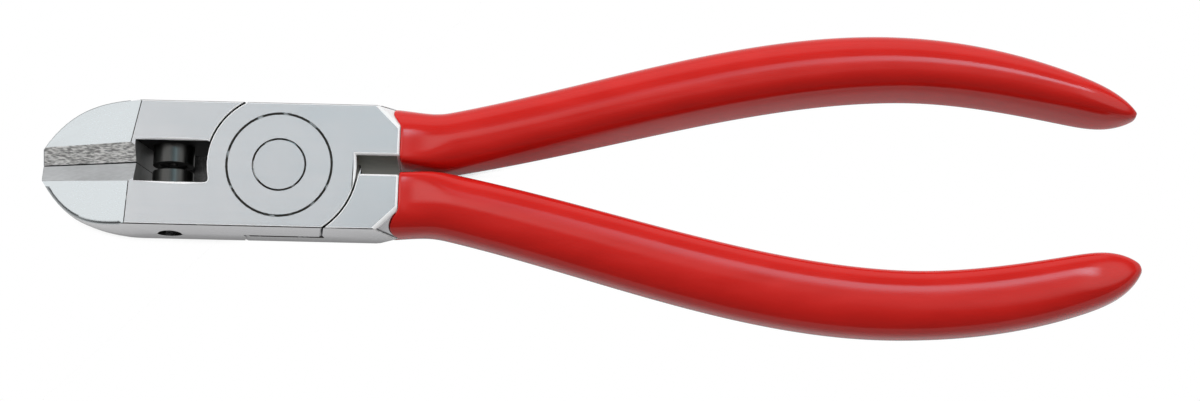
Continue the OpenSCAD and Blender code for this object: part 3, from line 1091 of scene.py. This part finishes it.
@dataclass
class DippedGrip(Piece):
    """A dipped plastic grip: a hollow sleeve around its tang, drawn section by section."""

    slot: ClassVar[Slot] = Slot.COAT
    angle: ClassVar[str] = "angle"
    side: int
    coat: float
    end_coat: float
    root_coat: float = 1.7
    end_l: float = 10.0
    foot: float = 0.15
    lean: float = 0.24
    lean_run: float = 36.0
    outer_power: float = 2.3
    inner_power: float = 3.0
    mouth_power: float = 11.0
    tang_power: float = 4.0
    end_power: float = 4.0
    end_round: float = 0.75
    room: float = 0.02
    hollow_left: float = 3.0
    front_shares: tuple[float, ...] = (0.7, 0.45)
    lip_r: float = 0.3
    lip_turns: tuple[float, ...] = (0.0, 30.0, 60.0)
    flare: float = 0.35
    flare_run: float = 4.5
    corner_gap: float = 0.06
    corner_fade: float = 4.0
    points: int = 48
    body_stations: int = 64
    crowding: float = 1.25
    end_stations: int = 14
    smooth: float = 60.0

    @property
    def start(self) -> float:
        """Where the mouth lies along the tool."""
        return HEAD.shoulder_x + self.room

    def hollow(self, x: float) -> Section:
        """A section of the hollow around the tang."""
        w = TANG.at(x)[1] + self.room
        return Section(x, w, w, TANG.half_t + self.room, self.tang_power, self.tang_power)

    def skin(self, x: float, drawn: float = 0.0, left_w: float = 1.0, left_t: float = 1.0) -> Section:
        """A section of the outer skin.

        Args:
            x: Distance from the pivot.
            drawn: How far it is drawn in at the lip.
            left_w: Share of the width that the rounded end leaves.
            left_t: Share of the thickness that the rounded end leaves.

        Returns:
            The section.
        """
        mouth, waist = HEAD.shoulder_x, HEAD.shoulder_x + TANG.waist_run
        coat = blend(x, mouth, waist, self.root_coat, self.coat) - drawn
        thinned = blend(x, mouth + TANG.belly_run, TANG.end_x, 0.0, self.end_coat - self.coat)
        flare = self.flare * max(0.0, 1 - (x - mouth) / self.flare_run) ** 2
        w = TANG.at(x)[1] + coat
        t = TANG.half_t + coat
        power = blend(x, mouth, waist, self.mouth_power, self.inner_power)
        foot, lean = (blend(x, mouth, mouth + self.lean_run, HEAD.inner_lean, full) * left_w
                      for full in (self.foot, self.lean))
        return Section(x, (w + thinned + flare) * left_w, w * left_w, (t + flare) * left_t,
                       self.outer_power, power, foot, lean, True)

    def tip(self, u: float) -> Section:
        """A section of the rounded end, at a share of its length."""
        x = TANG.end_x + self.coat - self.end_l * (1 - u)
        return self.skin(x, 0.0, (1 - u ** self.end_power) ** self.end_round, math.sqrt(1 - u * u))

    def sections(self) -> list[Section]:
        """Sections from the hollow's end to the mouth, around the lip and back to the tip.

        Returns:
            The sections in this order.
        """
        length = TANG.length - self.hollow_left
        count = self.body_stations // 2
        hollow = [self.hollow(self.start + length * k / count) for k in range(count, -1, -1)]
        front = [self.skin(self.start, self.root_coat * share) for share in self.front_shares]
        turns = [math.radians(turn) for turn in self.lip_turns]
        lip = [self.skin(self.start + self.lip_r * (1 - math.cos(turn)),
                         self.lip_r * (1 - math.sin(turn))) for turn in turns]
        first = self.start + self.lip_r
        run = TANG.end_x + self.coat - self.end_l - first
        skin = [self.skin(first + run * (k / self.body_stations) ** self.crowding)
                for k in range(self.body_stations + 1)]
        tip = [self.tip(math.sin(math.radians(90 * k / self.end_stations)))
               for k in range(1, self.end_stations - 1)]
        return hollow + front + lip + skin + tip

    def point(self, section: Section, angle: float) -> Vector:
        """A point of a section.

        Args:
            section: The section.
            angle: Direction from its middle, 0 towards the outside.

        Returns:
            Place in metres.
        """
        outside = math.cos(angle) > 0
        power = section.outer_power if outside else section.inner_power
        q, z = (math.copysign(abs(v) ** (2 / power), v) for v in (math.cos(angle), math.sin(angle)))
        z *= section.t
        stand = section.foot * section.t - section.lean * (section.t + z)
        q *= section.outer_w if outside else section.inner_w + stand
        turn = TANG.heading(section.x)
        x = section.x - q * math.sin(turn)
        y = TANG.at(section.x)[0] + q * math.cos(turn)
        if section.skin:
            pull = HEAD.corner_facet_x(y, z) + self.corner_gap - self.start
            x += min(0.0, pull) * max(0.0, 1 - (section.x - self.start) / self.corner_fade) ** 2
        return Vector((x, self.side * y, HEAD.middle + self.side * z)) * MM

    def build(self) -> Object:
        """Extrude the sleeve from the hollow's end, out of the mouth and back to the tip.

        Returns:
            The new piece.
        """
        bpy.ops.object.select_all(action="DESELECT")
        bpy.ops.mesh.primitive_circle_add(vertices=self.points, radius=1.0, fill_type="NGON")
        bench = self.begin(bpy.context.object)
        mesh = bench.piece.data
        angles = mesh.attributes.new(self.angle, "FLOAT", "POINT")
        for vertex in mesh.vertices:
            angles.data[vertex.index].value = math.atan2(vertex.co.y, vertex.co.x)
        first, *others = self.sections()
        with bench.editing():
            bpy.ops.mesh.select_mode(type="FACE")
            bpy.ops.mesh.select_all(action="SELECT")
            self.set_cap(bench, first)
            for section in others:
                bpy.ops.mesh.extrude_region_move()
                self.set_cap(bench, section)
            bpy.ops.mesh.select_all(action="SELECT")
            bpy.ops.mesh.normals_make_consistent(inside=False)
        mesh.attributes.remove(mesh.attributes[self.angle])
        bench.modify("SUBSURF", levels=1, render_levels=1)
        bench.smooth(self.smooth)
        return bench.piece

    def set_cap(self, bench: Bench, section: Section) -> None:
        """Lay the selected cap on a section.

        Args:
            bench: The grip's bench, in edit mode.
            section: The section that the cap takes.
        """
        with bench.mesh() as mesh:
            angle = mesh.verts.layers.float[self.angle]
            for vertex in mesh.verts:
                if vertex.select:
                    vertex.co = self.point(section, vertex[angle])


@dataclass(frozen=True)
class Card:
    """A soft round card in the room, seen in the polished faces."""

    way: tuple[float, float, float]
    core: float
    edge: float
    level: float
    colour: Colour = (1.0, 1.0, 1.0)

    def glow(self, sheet: NodeSheet, look: NodeSocket) -> NodeSocket:
        """How bright the card is in a direction."""
        span = (math.cos(math.radians(angle)) for angle in (self.edge, self.core))
        return sheet.map(sheet.dot(look, Vector(self.way).normalized()), *span, 0.0, self.level,
                         "SMOOTHSTEP")


@dataclass(frozen=True)
class Strip:
    """A long light above the tool, with a brightness that changes along it."""

    tilt: float
    core: float
    edge: float
    level: float
    along: Steps
    colour: Colour = (1.0, 1.0, 1.0)
    shift: float = 0.5

    def glow(self, sheet: NodeSheet, look: NodeSocket) -> NodeSocket:
        """How bright the strip is in a direction.

        Args:
            sheet: The room's nodes.
            look: The direction.

        Returns:
            Its brightness.
        """
        tilt = math.radians(self.tilt)
        off = sheet.dot(look, Vector((0.0, math.cos(tilt), -math.sin(tilt))))
        x = sheet.sum("ADD", sheet.add("SeparateXYZ", {"Vector": look}).outputs["X"], self.shift)
        share = sheet.greys(x, tuple((place + self.shift, part) for place, part in self.along))
        span = (math.sin(math.radians(angle)) for angle in (self.edge, self.core))
        band = sheet.map(sheet.sum("ABSOLUTE", off, 0.0), *span, 0.0, self.level, "SMOOTHSTEP")
        return sheet.sum("MULTIPLY", band, share)


@dataclass
class Studio:
    """White table, soft room light and the camera above the tool."""

    elevation: float = 76.5
    roll: float = 1.35
    distance: float = 480.0
    target: tuple[float, float, float] = (46.42, -3.092, 4.75)
    lens: float = 99.0
    clip_start: float = 10.0
    room_level: float = 0.14
    room_share: float = 0.8
    white_level: float = 1.25
    soft_tilt: float = 36.0
    soft_edge: float = 80.0
    soft_level: float = 2.1
    soft_floor: float = 0.08
    cards: tuple[Card | Strip, ...] = (
        Strip(14.0, 2.0, 6.0, 1.93, ((-0.4, 0.0), (-0.26, 1.0), (-0.07, 1.0), (0.02, 0.3), (0.1, 0.0))),
        Strip(22.0, 3.0, 6.5, 6.5, ((-0.06, 0.0), (0.0, 0.16), (0.09, 0.52), (0.14, 0.9), (0.3, 1.0),
                                    (0.45, 0.0)), (0.5, 0.93, 1.1)),
        Card((-0.624, 0.238, 0.745), 15.0, 30.0, 1.5),
        Card((0.64, 0.1, 0.76), 20.0, 40.0, 1.2),
        Card((0.0, 0.97, 0.24), 15.0, 30.0, 0.7),
    )
    table_half: float = 3000.0
    table_drop: float = 0.02
    table_colour: Colour = (0.7, 0.7, 0.7)
    table_roughness: float = 0.9
    shade_reach: float = 15.0
    shade_samples: int = 16
    shade_full: float = 0.2
    # Table brightness seen in reflections, set by ambient occlusion: painted reflection
    painted_table_reflection: Steps = (
        (0.5, 0.33), (0.6, 0.55), (0.68, 0.75), (0.78, 0.85), (0.88, 0.7), (1.0, 0.5))
    # Along the tool, where the painted shadow under the window fades and how much it takes
    painted_window_shadow_x: tuple[float, float] = (-9.0, 15.0)
    painted_window_shadow_sky: tuple[float, float] = (0.5, 0.08)

    def back(self) -> Vector:
        """Direction from the tool to the camera."""
        e = math.radians(self.elevation)
        return Vector((0.0, -math.cos(e), math.sin(e)))

    def set_camera(self) -> None:
        """Place the camera and take it into use."""
        data = bpy.data.cameras.new("camera")
        data.lens = self.lens
        data.clip_start = self.clip_start * MM
        camera = bpy.data.objects.new("camera", data)
        bpy.context.scene.collection.objects.link(camera)
        back = self.back()
        right = Vector((1.0, 0.0, 0.0))
        up = back.cross(right)
        r = math.radians(self.roll)
        axes = (right * math.cos(r) + up * math.sin(r), up * math.cos(r) - right * math.sin(r), back)
        turn = Matrix(axes).transposed().to_4x4()
        place = (Vector(self.target) + back * self.distance) * MM
        camera.matrix_world = Matrix.Translation(place) @ turn
        bpy.context.scene.camera = camera

    def light_room(self) -> None:
        """Make the room: cards and strips for the steel, soft light from behind, white for the camera."""
        world = bpy.data.worlds.new("soft_room")
        bpy.context.scene.world = world
        world.use_nodes = True
        world.cycles.sampling_method = "NONE"
        sheet = NodeSheet(world.node_tree)
        sheet.tree.nodes.clear()
        look = sheet.add("TexCoord", {}).outputs["Generated"]
        level = (self.room_level,) * 3
        for card in self.cards:
            glow = {0: card.colour, "Scale": card.glow(sheet, look)}
            part = sheet.add("VectorMath", glow, operation="SCALE").outputs["Vector"]
            level = sheet.add("VectorMath", {0: level, 1: part}).outputs["Vector"]
        tilt = math.radians(self.soft_tilt)
        soft = Card((0.0, math.sin(tilt), math.cos(tilt)), 0.0, self.soft_edge, self.soft_level)
        light = sheet.sum("ADD", self.soft_floor, soft.glow(sheet, look))
        lights = ({"Color": level, "Strength": self.room_share}, {"Strength": light},
                  {"Strength": self.white_level})
        shown, lit, white = (sheet.add("Background", each).outputs["Background"] for each in lights)
        path = sheet.add("LightPath", {}).outputs
        room = sheet.mix(path["Is Diffuse Ray"], shown, lit)
        sheet.add("OutputWorld", {"Surface": sheet.mix(path["Is Camera Ray"], room, white)})

    def lay_table(self) -> None:
        """Lay the white table: white emission for the camera with painted shadow from ambient occlusion
        under the tool and the window, and painted brightness in reflections.
        """
        bpy.ops.object.select_all(action="DESELECT")
        bpy.ops.mesh.primitive_plane_add(
            size=2 * self.table_half * MM, location=(0.0, 0.0, -self.table_drop * MM))
        table = bpy.context.object
        table.name = "table"
        material, sheet = new_material("white_table")
        sheet.feed(sheet.shader, {"Base Color": (*self.table_colour, 1.0),
                                  "Roughness": self.table_roughness, "Specular IOR Level": 0.0})
        reach = {"Distance": self.shade_reach * MM}
        sky = sheet.add("AmbientOcclusion", reach, samples=self.shade_samples).outputs["AO"]
        spot = sheet.add("TexCoord", {}).outputs["Object"]
        x = sheet.add("SeparateXYZ", {"Vector": spot}).outputs["X"]
        front, rear = (place * MM for place in self.painted_window_shadow_x)
        needed = sheet.map(x, front, rear, *self.painted_window_shadow_sky)
        painted_shadow_strength = sheet.map(sky, sheet.sum("MULTIPLY", needed, self.shade_full), needed, 0.0, 1.0)
        # White emission for the camera, dimmed by ambient occlusion: painted shadow
        bright = sheet.add("Emission", {"Strength": painted_shadow_strength}).outputs["Emission"]
        mirrored = sheet.greys(sky, self.painted_table_reflection)
        painted_reflection_glow = sheet.add("Emission", {"Color": mirrored}).outputs["Emission"]
        path = sheet.add("LightPath", {}).outputs
        reflected = sheet.mix(path["Is Glossy Ray"], sheet.shader.outputs["BSDF"], painted_reflection_glow)
        whole = sheet.mix(path["Is Camera Ray"], reflected, bright)
        sheet.feed(sheet.tree.nodes["Material Output"], {"Surface": whole})
        table.data.materials.append(material)

    def build(self) -> None:
        """Set the whole studio up."""
        self.set_camera()
        self.light_room()
        self.lay_table()
        bpy.context.scene.view_settings.view_transform = "Standard"


def main() -> None:
    """Build the tool piece by piece, in the order of its assembly."""
    logging.basicConfig(level=logging.INFO, format="%(name)s %(message)s")
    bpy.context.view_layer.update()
    Studio().build()
    steels = {zone: finish.material() for zone, finish in LEVER_FINISHES.items()}
    lever = [steels[zone] for zone in Zone]
    rivet = [RIVET_STEEL.material(), steels[Zone.GROOVE]]
    # The dies' stamping faces take the painted shade of the window walls
    die = [DIE_STEEL.material(), steels[Zone.WELL]]
    screw = [SCREW_STEEL.material()]
    grip = [RED_COAT.material()]
    pieces: tuple[tuple[Piece, list[Material]], ...] = (
        # The top lever's shoulder corner facets get the painted highlight of the EDGE finish
        (Lever("polished_top_lever", "top_lap_lever", Body.TOP, False, Zone.FINE_FLANK, Zone.EDGE), lever),
        (Lever("polished_bottom_lever", "bottom_lap_lever", Body.BOTTOM, True, Zone.ROUGH_FLANK,
               Zone.FACE), lever),
        (PivotRivet("flush_pivot_rivet", "pivot_rivet", Body.BOTTOM), rivet),
        (SealDie("upper_stamping_die", "upper_seal_die", Body.BOTTOM, -1), die),
        (SealDie("lower_stamping_die", "lower_seal_die", Body.TOP, 1), die),
        (DieScrew("upper_socket_screw", "upper_die_screw", Body.BOTTOM, 1), screw),
        (DieScrew("lower_socket_screw", "lower_die_screw", Body.TOP, -1), screw),
        (DippedGrip("upper_dipped_grip", "upper_grip", Body.TOP, 1, 1.8, 0.6), grip),
        (DippedGrip("lower_dipped_grip", "lower_grip", Body.BOTTOM, -1, 2.1, 1.9), grip),
    )
    for piece, materials in pieces:
        piece.dress(piece.build(), *materials)


if __name__ == "__main__":
    main()
